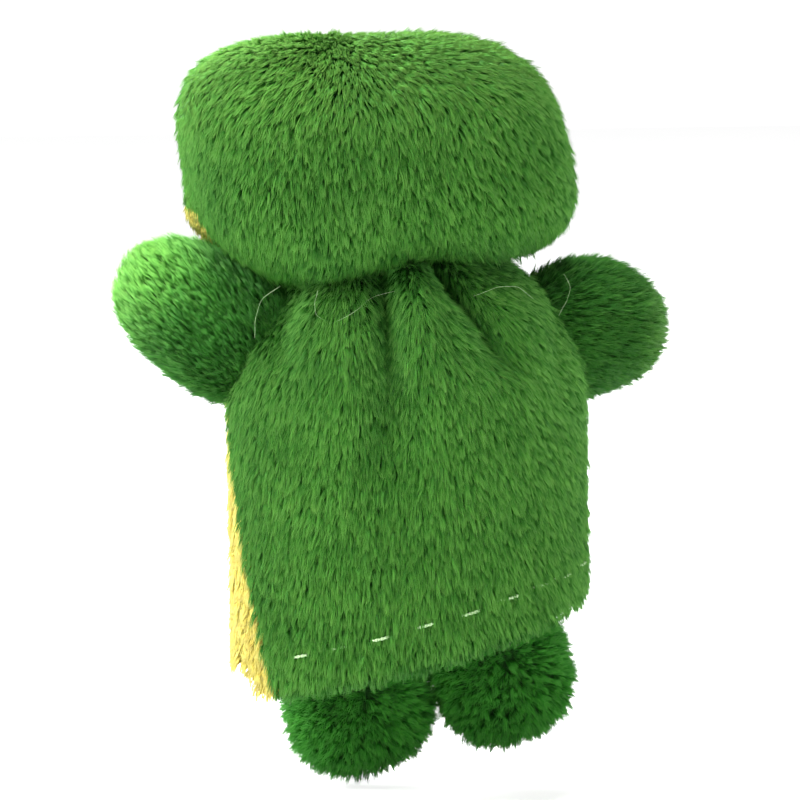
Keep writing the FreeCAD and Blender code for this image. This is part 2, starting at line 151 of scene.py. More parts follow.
def unpadded(faces):
    """Takes the repeated corner of a padded triangle off again."""
    return [tuple(f) if len(set(f)) == 4 else tuple(f[:3]) for f in faces.tolist()]


def only_used(verts, faces):
    """The points that some faces use, and those faces numbered to match."""
    used = np.unique(faces)
    renumber = np.full(len(verts), -1)
    renumber[used] = np.arange(len(used))
    return verts[used], renumber[faces]


def new_object(name, mesh, material):
    obj = bpy.data.objects.new(name, mesh)
    bpy.context.scene.collection.objects.link(obj)
    if material is not None:
        mesh.materials.append(material)
    return obj


def build(name, verts, faces, material, body, slot):
    """A smooth-shaded piece from points in mm, riding on a body."""
    mesh = bpy.data.meshes.new(name)
    mesh.from_pydata(((np.asarray(verts) - LIFT) * MM).tolist(), [], as_tuples(faces))
    mesh.validate()
    mesh.polygons.foreach_set("use_smooth", [True] * len(mesh.polygons))
    obj = new_object(name, mesh, material)
    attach(obj, body)
    return obj


def surface_of(verts, faces):
    """Points, vertex normals and triangles of a mesh in mm."""
    mesh = bpy.data.meshes.new("probe")
    mesh.from_pydata(np.asarray(verts).tolist(), [], as_tuples(faces))
    mesh.calc_loop_triangles()
    tri = np.empty(len(mesh.loop_triangles) * 3, np.int32)
    mesh.loop_triangles.foreach_get("vertices", tri)
    normals = np.empty(len(mesh.vertices) * 3, np.float32)
    mesh.vertices.foreach_get("normal", normals)
    bpy.data.meshes.remove(mesh)
    return {
        "v": np.asarray(verts, float),
        "n": unit(normals.reshape(-1, 3).astype(float)),
        "t": tri.reshape(-1, 3),
        "f": faces,
    }


def ray_tree(surf):
    """A surface to shoot rays at."""
    return BVHTree.FromPolygons(surf["v"].tolist(), surf["t"].tolist())


def super_form(halves, square_up, square_round):
    """A closed pillow form round the origin; exponents below 1 make it boxier."""
    rings, around = 28, 56
    eta = np.linspace(-math.pi / 2, math.pi / 2, rings + 1)[1:-1]
    omega = np.linspace(0, 2 * math.pi, around, endpoint=False)
    ce, se = signed_power(np.cos(eta), square_up), signed_power(np.sin(eta), square_up)
    cw, sw = signed_power(np.cos(omega), square_round), signed_power(np.sin(omega), square_round)
    grid = np.stack(
        [
            halves[0] * np.outer(ce, cw),
            halves[1] * np.outer(ce, sw),
            halves[2] * np.outer(se, np.ones(around)),
        ],
        -1,
    ).reshape(-1, 3)
    verts = np.vstack([grid, [[0, 0, -halves[2]], [0, 0, halves[2]]]])
    count = rings - 1
    faces = grid_faces(count, around)
    low, high = count * around, count * around + 1
    for j in range(around):
        k = (j + 1) % around
        faces.append((low, k, j))
        faces.append((high, (count - 1) * around + j, (count - 1) * around + k))
    return verts, faces


SIM = 10.0  # the cloth is simulated ten times life size, where the solver behaves
SIM_STEPS = 20
PRESSURE = 4.0


def stuffed(name, verts, faces, voxel, seams, cap):
    """Remeshes a closed form and swells it like stuffed cloth; the seams, given by a test, stay put.
    No point moves by more than the cap, in mm."""
    mesh = bpy.data.meshes.new(name)
    mesh.from_pydata((verts * MM * SIM).tolist(), [], faces)
    obj = new_object(name, mesh, None)
    remesh = obj.modifiers.new("Remesh", "REMESH")
    remesh.mode, remesh.voxel_size = "VOXEL", voxel * MM * SIM
    apply_modifiers(obj)
    rest = points(obj)
    held = seams(rest / (MM * SIM))
    group = obj.vertex_groups.new(name="seam")
    for weight in (1.0, 0.85):
        group.add([int(i) for i in np.nonzero(held >= weight)[0]], weight, "REPLACE")
    cloth = obj.modifiers.new("Cloth", "CLOTH")
    settings = cloth.settings
    settings.use_pressure, settings.uniform_pressure_force = True, PRESSURE
    settings.effector_weights.gravity = 0.0
    settings.vertex_group_mass = "seam"
    settings.quality = 6
    settings.tension_stiffness = settings.compression_stiffness = 8.0
    settings.bending_stiffness = 0.3
    for number in range(1, SIM_STEPS + 1):
        bpy.context.scene.frame_set(number)
    apply_modifiers(obj)
    moved = points(obj) - rest
    size = np.linalg.norm(moved, axis=1, keepdims=True)
    limit = cap * MM * SIM
    rest = rest + moved * np.minimum(1.0, limit / np.maximum(size, 1e-9))
    bpy.context.scene.frame_set(1)
    polygons = [tuple(p.vertices) for p in obj.data.polygons]
    bpy.data.objects.remove(obj)
    return rest / (MM * SIM), polygons


def apply_modifiers(obj):
    graph = bpy.context.evaluated_depsgraph_get()
    made = bpy.data.meshes.new_from_object(obj.evaluated_get(graph), depsgraph=graph)
    obj.modifiers.clear()
    obj.data = made


def points(obj):
    co = np.empty(len(obj.data.vertices) * 3, np.float32)
    obj.data.vertices.foreach_get("co", co)
    return co.reshape(-1, 3).astype(float)


# ---- materials ----


def nodes_of(name, roughness, specular, sheen=0.0, sheen_tint=(1, 1, 1)):
    mat = bpy.data.materials.new(name)
    mat.use_nodes = True
    tree = mat.node_tree
    shader = tree.nodes["Principled BSDF"]
    shader.inputs["Roughness"].default_value = roughness
    shader.inputs["Specular IOR Level"].default_value = specular
    shader.inputs["Sheen Weight"].default_value = sheen
    shader.inputs["Sheen Roughness"].default_value = 0.4
    shader.inputs["Sheen Tint"].default_value = (*sheen_tint, 1)
    return mat, tree, shader


def ramp(tree, stops):
    node = tree.nodes.new("ShaderNodeValToRGB")
    elements = node.color_ramp.elements
    while len(elements) < len(stops):
        elements.new(0.5)
    for element, (place, colour) in zip(elements, stops):
        element.position, element.color = place, (*colour, 1)
    return node


def linear(r, g, b):
    """sRGB in 0..255 to linear."""
    return tuple(((c / 255 + 0.055) / 1.055) ** 2.4 if c > 10 else c / 255 / 12.92 for c in (r, g, b))


def pile_material(name, root, middle, tip, dark, bright, sheen):
    """Pile colour: dark at the root and light at the tip, painted shade that deepens the shade low in the
    pile. It also varies from strand to strand, by the number that each strand carries in its UV layer: a
    random tone, lowered where a style paints shade and raised where it paints light."""
    mat, tree, shader = nodes_of(name, 0.55, 0.22, sheen, tip)
    uv = tree.nodes.new("ShaderNodeUVMap")
    uv.uv_map = "OFBake"
    split = tree.nodes.new("ShaderNodeSeparateXYZ")
    tree.links.new(uv.outputs["UV"], split.inputs[0])
    shade = ramp(tree, [(0.0, root), (0.45, middle), (1.0, tip)])
    tree.links.new(split.outputs["Y"], shade.inputs["Fac"])
    tint = ramp(tree, [(0.0, dark), (0.55, (1, 1, 1)), (1.0, bright)])
    tree.links.new(split.outputs["X"], tint.inputs["Fac"])
    mix = tree.nodes.new("ShaderNodeMix")
    mix.data_type, mix.blend_type = "RGBA", "MULTIPLY"
    mix.inputs["Factor"].default_value = 1.0
    tree.links.new(shade.outputs["Color"], mix.inputs["A"])
    tree.links.new(tint.outputs["Color"], mix.inputs["B"])
    tree.links.new(mix.outputs["Result"], shader.inputs["Base Color"])
    return mat


def cloth_material(name, dark, light, scale, bump=0.3):
    """Knitted backing or felt: fine noise over a soft mottle, with a matching bump."""
    mat, tree, shader = nodes_of(name, 0.9, 0.15, 0.3, light)
    where = tree.nodes.new("ShaderNodeTexCoord")
    fine = tree.nodes.new("ShaderNodeTexNoise")
    fine.inputs["Scale"].default_value = scale
    fine.inputs["Detail"].default_value = 6.0
    tree.links.new(where.outputs["Object"], fine.inputs["Vector"])
    weave = tree.nodes.new("ShaderNodeTexWave")
    weave.inputs["Scale"].default_value = scale * 0.4
    weave.inputs["Distortion"].default_value = 6.0
    tree.links.new(where.outputs["Object"], weave.inputs["Vector"])
    mix = tree.nodes.new("ShaderNodeMix")
    mix.inputs["Factor"].default_value = 0.3
    tree.links.new(fine.outputs["Fac"], mix.inputs["A"])
    tree.links.new(weave.outputs["Fac"], mix.inputs["B"])
    colour = ramp(tree, [(0.3, dark), (0.7, light)])
    tree.links.new(mix.outputs["Result"], colour.inputs["Fac"])
    tree.links.new(colour.outputs["Color"], shader.inputs["Base Color"])
    relief = tree.nodes.new("ShaderNodeBump")
    relief.inputs["Strength"].default_value = bump
    relief.inputs["Distance"].default_value = 0.0002
    tree.links.new(mix.outputs["Result"], relief.inputs["Height"])
    tree.links.new(relief.outputs["Normal"], shader.inputs["Normal"])
    return mat


def black_material():
    """Glossy black plastic."""
    mat, tree, shader = nodes_of("black_bead", 0.12, 0.6)
    where = tree.nodes.new("ShaderNodeTexCoord")
    noise = tree.nodes.new("ShaderNodeTexNoise")
    noise.inputs["Scale"].default_value = 300.0
    tree.links.new(where.outputs["Object"], noise.inputs["Vector"])
    colour = ramp(tree, [(0.3, (0.004, 0.004, 0.005)), (0.7, (0.012, 0.012, 0.014))])
    tree.links.new(noise.outputs["Fac"], colour.inputs["Fac"])
    tree.links.new(colour.outputs["Color"], shader.inputs["Base Color"])
    return mat


GREEN = pile_material(
    "green_pile",
    linear(12, 66, 8),
    linear(48, 118, 28),
    linear(102, 162, 66),
    (0.13, 0.39, 0.09),
    (1.46, 1.12, 1.3),
    0.12,
)
DARK_GREEN = pile_material(
    "dark_green_pile",
    linear(6, 50, 4),
    linear(24, 108, 14),
    linear(72, 156, 48),
    (0.30, 0.46, 0.2),
    (1.5, 1.2, 1.5),
    0.12,
)
YELLOW = pile_material(
    "yellow_pile",
    linear(172, 140, 36),
    linear(206, 190, 84),
    linear(222, 214, 130),
    (0.72, 0.58, 0.4),
    (1.05, 1.06, 1.08),
    0.2,
)
GREEN_CLOTH = cloth_material("green_backing", linear(10, 40, 8), linear(28, 78, 18), 900.0)
YELLOW_CLOTH = cloth_material("yellow_backing", linear(160, 138, 40), linear(205, 190, 90), 900.0)
GREEN_THREAD = cloth_material("green_thread", linear(140, 176, 120), linear(196, 220, 178), 2500.0, 0.4)
SEWING = cloth_material("green_sewing", linear(14, 60, 10), linear(44, 104, 32), 2500.0, 0.4)
YELLOW_THREAD = cloth_material("yellow_thread", linear(190, 178, 100), linear(232, 224, 160), 2500.0, 0.4)
DARK_THREAD = cloth_material("dark_thread", linear(16, 16, 18), linear(42, 42, 46), 2500.0, 0.4)
WHITE_FELT = cloth_material("white_felt", linear(176, 176, 170), linear(216, 216, 210), 1600.0, 0.5)
STUFFING = cloth_material("stuffing", linear(200, 200, 195), linear(240, 240, 238), 700.0, 0.8)
BLACK = black_material()


# ---- pile ----

CHUNK = 33000  # strands in one piece


def scatter(surf, per_mm2, keep, rng):
    """Evenly spread points on the kept part of a surface, with their normals."""
    a, b, c = (surf["v"][surf["t"][:, i]] for i in range(3))
    area = 0.5 * np.linalg.norm(np.cross(b - a, c - a), axis=1)
    weight = area * per_mm2((a + b + c) / 3)
    total = np.cumsum(weight)
    count = int(total[-1])
    pick = np.searchsorted(total, (np.arange(count) + rng.random(count)) / count * total[-1])
    pick = np.minimum(pick, len(area) - 1)
    r, q = np.sqrt(rng.random(count))[:, None], rng.random(count)[:, None]
    w = (1 - r, r * (1 - q), r * q)
    p = sum(wi * x[pick] for wi, x in zip(w, (a, b, c)))
    n = unit(sum(wi * surf["n"][surf["t"][pick, i]] for i, wi in enumerate(w)))
    kept = keep(p)
    return p[kept], n[kept]


def nearest(p, centres):
    """Which centre is closest to each point."""
    tree = kdtree.KDTree(len(centres))
    for i, c in enumerate(centres):
        tree.insert(c, i)
    tree.balance()
    return np.array([tree.find(x)[1] for x in p])


def pile(name, surf, body, material, keep, comb, style, seed):
    """Strands of pile over a surface. comb gives the direction they lie in; style holds their sizes."""
    rng = np.random.default_rng(seed)
    share = 1.0
    density = style["per_mm2"] * share
    per_mm2 = lambda p: density * style.get("thin", plain)(p)
    p, n = scatter(surf, per_mm2, keep, rng)
    count = len(p)
    lock_count = max(8, int(count / (style["lock"] * share)))
    centre = rng.choice(count, lock_count, replace=False)
    lock = nearest(p, p[centre])
    lean_noise = rng.normal(size=lock_count)
    turn = np.radians(style["mess"]) * rng.normal(size=lock_count)
    tall = 1 + style["uneven"] * rng.normal(size=lock_count)
    lock_dir = along(comb(p[centre]), n[centre])
    side = np.cross(n[centre], lock_dir)
    lock_dir = lock_dir * np.cos(turn)[:, None] + side * np.sin(turn)[:, None]
    own = np.radians(style["mess"] * 0.45) * rng.normal(size=count)
    d = along(lock_dir[lock], n)
    d = d * np.cos(own)[:, None] + np.cross(n, d) * np.sin(own)[:, None]
    length = style["length"] * tall[lock] * rng.uniform(0.8, 1.1, count)
    length = length * style.get("short", plain)(p)
    rise = np.radians(style["rise"] + style["rise_mess"] * lean_noise[lock] + 5 * rng.normal(size=count))
    lift0 = np.clip(rise + np.radians(style["curl"]), 0.1, 1.55)[:, None]
    lift1 = np.clip(rise, -0.1, 1.5)[:, None]
    first, second = length[:, None] * 0.42, length[:, None] * 0.58
    root = p - n * 0.12
    middle = p + first * (np.cos(lift0) * d + np.sin(lift0) * n)
    tip = middle + second * (np.cos(lift1) * d + np.sin(lift1) * n)
    lock_tip = tip[centre][lock] + (p - p[centre][lock]) * 0.25
    tip = tip + (lock_tip - tip) * style["cling"]
    middle = middle + (lock_tip - tip) * style["cling"] * 0.25
    big = waves(p, seed + 5, 9.0)
    u = 0.55 + 0.10 * rng.normal(size=lock_count)[lock] + 0.09 * rng.normal(size=count) + 0.06 * big
    # A style's shade lowers the tone number: painted shade, and painted light where it is negative.
    if "shade" in style:
        u = u - style["shade"](p)
    width = style["width"] * rng.uniform(0.75, 1.25, count)[:, None] * 0.5
    order = np.argsort((p @ np.array([0.02, 0.01, 1.0])), kind="stable")
    parts = max(1, math.ceil(count / CHUNK))
    for i, part in enumerate(np.array_split(order, parts)):
        label = name if parts == 1 else f"{name}_{i + 1}"
        obj = strands(label, *(field[part] for field in (root, middle, tip, n, d, width, u)), material)
        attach(obj, body)


def strands(name, root, middle, tip, n, d, width, u, material):
    """Each strand is bent and three-sided, and comes to a point at both ends."""
    count = len(root)
    side = unit(np.cross(d, n))
    up = unit(np.cross(side, unit(tip - root)))
    up = np.where((up * n).sum(1, keepdims=True) < 0, -up, up)
    low = middle - up * width * 0.4
    waist = (low - side * width, low + side * width, middle + up * width * 0.8)
    verts = np.stack([root, *waist, tip], 1).reshape(-1, 3)
    one = np.array([0, 2, 1, 0, 3, 2, 0, 1, 3, 1, 2, 4, 2, 3, 4, 3, 1, 4])
    loops = (one[None, :] + 5 * np.arange(count)[:, None]).ravel().astype(np.int32)
    height = np.array([0.02, 0.5, 0.5, 0.5, 0.98])[one]
    mesh = bpy.data.meshes.new(name)
    mesh.vertices.add(count * 5)
    mesh.vertices.foreach_set("co", ((verts - LIFT) * MM).astype(np.float32).ravel())
    mesh.loops.add(len(loops))
    mesh.loops.foreach_set("vertex_index", loops)
    mesh.polygons.add(count * 6)
    mesh.polygons.foreach_set("loop_start", (3 * np.arange(count * 6)).astype(np.int32))
    mesh.polygons.foreach_set("use_smooth", np.ones(count * 6, bool))
    layer = mesh.uv_layers.new(name="OFBake")
    uv = np.stack([np.repeat(np.clip(u, 0.02, 0.98), len(one)), np.tile(height, count)], 1)
    layer.data.foreach_set("uv", uv.astype(np.float32).ravel())
    mesh.update(calc_edges=True)
    return new_object(name, mesh, material)


# ---- thread ----

THREAD_SLOT = {
    GREEN_THREAD: "green_thread",
    SEWING: "green_thread",
    YELLOW_THREAD: "yellow_thread",
    DARK_THREAD: "dark_thread",
}


PLY_PITCH = 1.1  # the length in which a thread's plies turn once round each other


def across(tangent):
    """Two directions square to each step of a path."""
    guide = UP if abs(tangent[0] @ UP) < 0.9 else np.array([1.0, 0, 0])
    side = unit(np.cross(tangent, guide))
    return side, np.cross(tangent, side)


def tube(path, radius, sides=6):
    """A round tube along points in mm, closed at both ends and drawn in a little there."""
    path = np.asarray(path, float)
    side, other = across(unit(np.gradient(path, axis=0)))
    angle = np.arange(sides) * 2 * math.pi / sides
    shape = np.full(len(path), radius)
    shape[0] = shape[-1] = radius * 0.5
    ring = (
        path[:, None]
        + side[:, None] * (np.cos(angle)[None, :, None] * shape[:, None, None])
        + other[:, None] * (np.sin(angle)[None, :, None] * shape[:, None, None])
    )
    faces = grid_faces(len(path), sides)
    faces.append(tuple(range(sides))[::-1])
    faces.append(tuple((len(path) - 1) * sides + j for j in range(sides)))
    return ring.reshape(-1, 3), faces


def twisted(path, radius):
    """Two plies twisted round a path."""
    path = np.asarray(path, float)
    run = np.concatenate([[0], np.cumsum(np.linalg.norm(np.diff(path, axis=0), axis=1))])
    steps = max(6, int(run[-1] / PLY_PITCH * 8))
    at = np.linspace(0, run[-1], steps)
    line = np.stack([np.interp(at, run, path[:, i]) for i in range(3)], 1)
    side, other = across(unit(np.gradient(line, axis=0)))
    plies = []
    for ply in (0, math.pi):
        angle = 2 * math.pi * at / PLY_PITCH + ply
        core = line + radius * 0.5 * (np.cos(angle)[:, None] * side + np.sin(angle)[:, None] * other)
        plies.append(tube(core, radius * 0.58))
    return gather(plies)


def gather(parts):
    """Joins lists of points and faces."""
    verts, faces = [], []
    for v, f in parts:
        base = sum(len(x) for x in verts)
        verts.append(v)
        faces += [tuple(i + base for i in face) for face in f]
    return np.vstack(verts), faces


def thread_piece(name, paths, radius, material, body, node):
    """Twisted thread along each path, as one piece that stands for a CAD node."""
    verts, faces = gather([twisted(path, radius) for path in paths])
    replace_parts(build(name, verts, faces, material, body, THREAD_SLOT[material]), node)


STRAYS = (  # places across the neck and their heights
    [(18.4, 49.2), (18.5, 51.0), (17.6, 53.2), (15.6, 54.6)],
    [(11.6, 54.1), (12.1, 52.8), (11.7, 51.4), (10.4, 50.6)],
    [(9.8, 50.8), (7.6, 52.0), (5.6, 53.2), (3.3, 53.8)],
    [(-5.3, 53.1), (-7.8, 54.1), (-10.3, 54.0), (-11.8, 52.7)],
    [(-15.2, 55.2), (-15.8, 53.8), (-15.6, 52.2), (-14.6, 50.8)],
)
STRAY_RADIUS = 0.015
STRAY_PROUD = 1.1  # how far a hair floats above the cloth
STRAY_LEAST = 8.0  # and how far back it stays, also where there is no cloth behind it
BEHIND = 40.0  # a place well behind the puppet, to look at its back from


def stray_fibres(surf):
    """A few loose fine hairs caught in the pile at the back of the neck."""
    tree = ray_tree(surf)
    paths = []
    for line in STRAYS:
        corners = np.array(line)
        steps = np.linspace(0, len(line) - 1, 24)
        flat = np.stack([np.interp(steps, range(len(line)), corners[:, i]) for i in (0, 1)], 1)
        for _ in range(3):
            flat[1:-1] = (flat[:-2] + flat[1:-1] * 2 + flat[2:]) / 4
        path = []
        for step, (x, z) in zip(steps, flat):
            hit = tree.ray_cast(Vector((x, BEHIND, z)), Vector((0, -1, 0)))[0]
            y = max(hit.y, STRAY_LEAST) if hit else STRAY_LEAST
            path.append(np.array([x, y + STRAY_PROUD + 0.5 * math.sin(2.1 * step), z]))
        path = np.array(path)
        path[1:-1, 1] = (path[:-2, 1] + path[1:-1, 1] + path[2:, 1]) / 3
        paths.append(tube(path, STRAY_RADIUS, 4))
    verts, faces = gather(paths)
    build("neck_stray_fibres", verts, faces, GREEN_THREAD, "torso", "green_thread")


# ---- body ----

CLOTH_THICK = 1.1
INNER_TOP = 55.8  # the inside of the cloth ends here, below the gathering
PILE_TOP = 56.6
CLOSING = 17.3  # above the chest, the height over which the body would close in to nothing
RIGHT_SEAM_Y = -1.6


def hem_z(x):
    """The hem's height at a place across the body."""
    return HEM_MIDDLE - HEM_SLOPE * x


def crease(x, z, line, depth, width):
    """A narrow valley along a line of (height, place) pairs, with its depth and width at those heights."""
    heights = [h for h, _ in line]
    place = np.interp(z, heights, [a for _, a in line])
    return np.interp(z, heights, depth) * bell(x, place, np.interp(z, heights, width))


# The valleys of the gathered back, each as its line, its depths and its widths.
WEDGE = ([(18, 3.6), (36, 4.4), (47, 4.5), (57, 4.0)], [0.0, 0.9, 2.6, 3.2], [6.0, 4.0, 1.7, 1.2])
PIT = ([(44, -8.6), (49.5, -6.3), (53, -3.4), (57, -0.9)], [0.0, 3.4, 5.0, 3.6], [2.6, 1.7, 1.5, 1.1])
SHOULDER_TUCK = ([(44, 15.0), (49, 14.6), (54, 12.6)], [0.0, 2.2, 2.6], [1.6, 1.5, 1.5])


def folds(x, z, back):
    """How far the gathered cloth stands in or out, in mm, from its place across the body and its height."""
    upper = smooth(z, 22.0, 50.0)
    near_neck = smooth(z, 42.0, 54.0)
    d = -crease(x, z, *WEDGE) - crease(x, z, *PIT) - crease(x, z, *SHOULDER_TUCK)
    d += (
        1.3 * bell(x, 9.6, 3.4) * upper
        + 1.4 * bell(x, 1.4, 2.0) * near_neck
        + 0.7 * bell(x, 0.0, 4.0) * upper
    )
    d += 1.2 * bell(x, -9.6, 3.2) * near_neck - 0.9 * bell(x, -14.6, 1.6) * bell(z, 47.0, 5.0)
    d += 0.35 * bell(z, 31.0, 5.0) * bell(x, -4.0, 9.0)
    front = 0.5 * np.sin(x * 0.9 + 0.6) * near_neck - 0.5 * bell(x, -3.0, 3.5) * upper
    return np.where(back, d, front)


def painted_back_shade(p):
    """Painted shade on the back's pile, which also makes the pile shorter: deepest in the folds, along the
    hem and under the head, with an even amount over the whole back.
    """
    x, z = p[:, 0], p[:, 2]
    deep = sum(
        share * crease(x, z, *valley) / max(valley[1])
        for share, valley in ((0.32, WEDGE), (0.46, PIT), (0.2, SHOULDER_TUCK))
    )
    edge = 0.26 * smooth(hem_z(x) - z, -1.6, -0.2)
    return np.where(p[:, 1] > 0, 0.15 + deep + edge + 0.26 * smooth(z, 53.0, 56.0), 0.0)


def hem_corner(angle):
    """How far the hem is drawn up: in front of the puppet's left seam, and at its right side."""
    turn = np.degrees((angle + math.pi) % (2 * math.pi) - math.pi)
    left = 3.5 * smooth(turn, -42.0, -33.0) * (1 - smooth(turn, 8.0, 26.0))
    right = 2.2 * bell(np.abs(turn), 180.0, 22.0)
    return left + right + 0.2 * np.sin(3 * angle)


def body_grid(inset, rings, around):
    """The body's cloth from the hem up to the gathered neck, as a grid of points."""
    angle = np.linspace(0, 2 * math.pi, around, endpoint=False)
    level = np.linspace(0, 1, rings)
    grid = np.empty((rings, around, 3))
    for i, s in enumerate(level):
        a0, b0 = BODY_HALF[0] - inset, BODY_HALF[1] - inset
        x_low = a0 * np.cos(angle)
        low, top = hem_z(x_low) + hem_corner(angle), NECK_TOP - inset
        z = low + (top - low) * (1 - (1 - s) ** 1.35)
        rise = np.clip((z - CHEST) / (CLOSING - inset), 0, 0.985)
        k = np.maximum(np.sqrt(1 - rise**2), 0.30)
        sag = 1 - 0.02 * bell(z, 33.0, 6.0)
        x, y = a0 * k * np.cos(angle), b0 * k * sag * np.sin(angle)
        out = folds(x, z, np.sin(angle) > 0) * smooth(np.abs(np.sin(angle)), 0.0, 0.35)
        r = np.hypot(x, y)
        x = x * (1 + out / np.maximum(r, 3) * 0.5) - 0.2 - 0.3 * smooth(-z, -44.0, -18.0)
        grid[i] = np.stack([x, y + out * np.sin(angle), z], 1)
    return grid


def seam_y(side, z):
    """How far back the side seam lies at a height, on one side of the body."""
    if side < 0:
        return np.full_like(z, RIGHT_SEAM_Y)
    return -0.9 + 9.8 * np.clip(1 - z / 44.0, 0, 1)


def is_back(p):
    """True for points behind the side seams."""
    seam = np.where(p[:, 0] > 0, seam_y(1, p[:, 2]), seam_y(-1, p[:, 2]))
    return p[:, 1] > seam


def make_body():
    """The two cloth panels of the body, folded in at the hem; returns their outer surface."""
    rings, around = 110, 240
    outer = body_grid(0.0, rings, around)
    inner = body_grid(CLOTH_THICK, rings, around)
    inner[:, :, 2] = np.minimum(inner[:, :, 2], INNER_TOP)
    fold = body_grid(CLOTH_THICK / 2, rings, around)[0]
    fold[:, 2] -= 0.5
    verts = np.vstack([outer.reshape(-1, 3), fold, inner.reshape(-1, 3)])
    index = np.arange(rings * around).reshape(rings, around)
    fold_index = rings * around + np.arange(around)
    inner_index = rings * around + around + index
    faces = []
    for j in range(around):
        k = (j + 1) % around
        for i in range(rings - 1):
            faces.append((index[i, j], index[i, k], index[i + 1, k], index[i + 1, j]))
            faces.append((inner_index[i, k], inner_index[i, j], inner_index[i + 1, j], inner_index[i + 1, k]))
        faces.append((index[0, k], index[0, j], fold_index[j], fold_index[k]))
        faces.append((fold_index[k], fold_index[j], inner_index[0, j], inner_index[0, k]))
        faces.append((index[-1, j], index[-1, k], inner_index[-1, k], inner_index[-1, j]))
    faces = np.array(faces)
    middle = verts[faces].mean(1)
    back = is_back(middle)
    for name, picked, material, slot, node in (
        ("body_back_cloth", faces[back], GREEN_CLOTH, "green_pile", "body_back_panel"),
        ("body_front_cloth", faces[~back], YELLOW_CLOTH, "yellow_pile", "body_front_panel"),
    ):
        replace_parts(build(name, *only_used(verts, picked), material, "torso", slot), node)
    outer_faces = [f for f in faces if f.max() < rings * around]
    return surface_of(outer.reshape(-1, 3), outer_faces)


def fan(p):
    """The body's pile is brushed down and spreads away from the neck, most on the puppet's right."""
    x, z = p[:, 0], p[:, 2]
    strength = np.where(x > 1.5, 0.008, 0.02) * (1 + 1.3 * smooth(z, 22, 50))
    aside = (x - 1.5) * strength + 0.10 * waves(p, 11, 16.0)
    aside -= 0.9 * (bell(x, -4.5, 3.2) * bell(z, 50.0, 4.0))
    return np.stack([aside, np.zeros(len(p)), np.full(len(p), -1.0)], 1)


# A style of pile: strands per mm2 and in each lock; their length and width in mm; how they rise from the
# cloth, curl and stray from the comb, in degrees; how uneven the locks are, and how closely they cling.
BODY_STYLE = dict(
    per_mm2=52, lock=7, length=2.2, width=0.092, rise=13,
    rise_mess=6, curl=30, mess=7, uneven=0.13, cling=0.36,
)


def body_pile(surf):
    low = lambda p: p[:, 2] < PILE_TOP
    back = lambda p: is_back(p) & low(p)
    front = lambda p: ~is_back(p) & low(p)
    # The back's pile carries painted shade, and is shorter where that shade is deepest.
    style = dict(BODY_STYLE, shade=painted_back_shade, short=lambda p: 1.13 - 0.9 * painted_back_shade(p))
    pile("body_back_pile", surf, "torso", GREEN, back, fan, style, 21)
    style = dict(BODY_STYLE, per_mm2=25, length=1.7, width=0.13, rise=10, mess=6)
    pile("body_front_pile", surf, "torso", YELLOW, front, fan, style, 22)


HEM_STITCH = 2.9
HEM_STITCH_STEP = 1.8  # from one stitch to the next, in stitches
HEM_STITCH_RISE = 4.0  # above the hem
HEM_STITCH_SPAN = (18.4, 11.8)  # the hem's half widths by which the stitches are spaced


def hem_path(start, end, rise, proud):
    """A stitch's course round the body, between two angles, above the hem and proud of the cloth."""
    angle = np.radians(np.linspace(start, end, 5))
    x = (BODY_HALF[0] + proud) * np.cos(angle) - 0.45
    y = (BODY_HALF[1] + proud) * np.sin(angle)
    return np.stack([x, y, hem_z(x) + rise], 1)


def hem_stitches():
    """Running stitches from a first to a last angle, along each panel's hem."""
    a, b = HEM_STITCH_SPAN
    for side, first, last, material in (("back", 40, 165, GREEN_THREAD), ("front", 200, 335, YELLOW_THREAD)):
        paths, angle = [], float(first)
        rng = np.random.default_rng(first)
        while angle < last:
            turn = math.radians(angle)
            span = math.degrees(HEM_STITCH / (a * abs(math.sin(turn)) + b * abs(math.cos(turn))))
            rise = HEM_STITCH_RISE + rng.normal() * 0.15
            path = hem_path(angle, angle + span, rise, rng.uniform(0.6, 0.95))
            path[[0, -1]] -= unit(path[[0, -1]] * [1, 1, 0]) * 0.9
            paths.append(path)
            angle += span * HEM_STITCH_STEP
        thread_piece(f"{side}_hem_stitching", paths, 0.16, material, "torso", f"{side}_hem_stitches")


# ---- head ----

HEAD_LEAN = 2.9
HEAD_TURN = rotation("Y", HEAD_LEAN)
HEAD_HALF = (19.6, 11.3, 12.0)
HEAD_MIDDLE = np.array([2.9, 0.0, 8.25])
HEAD_SHEAR = 1.9
FACE_SEAM = -0.6


def jaw_z(x):
    """The height of the seam between face and muzzle, in the head's own frame; it climbs at the cheeks."""
    return -5.9 + 1.5 * smooth(x, 10.0, 18.0) + 0.8 * smooth(-x, 11.0, 17.0)


def head_to_row(p):
    """From the head's own frame to the row frame."""
    return (p + HEAD_MIDDLE) @ HEAD_TURN.T + NECK


def row_to_head(p):
    """From the row frame to the head's own frame."""
    return (p - NECK) @ HEAD_TURN - HEAD_MIDDLE


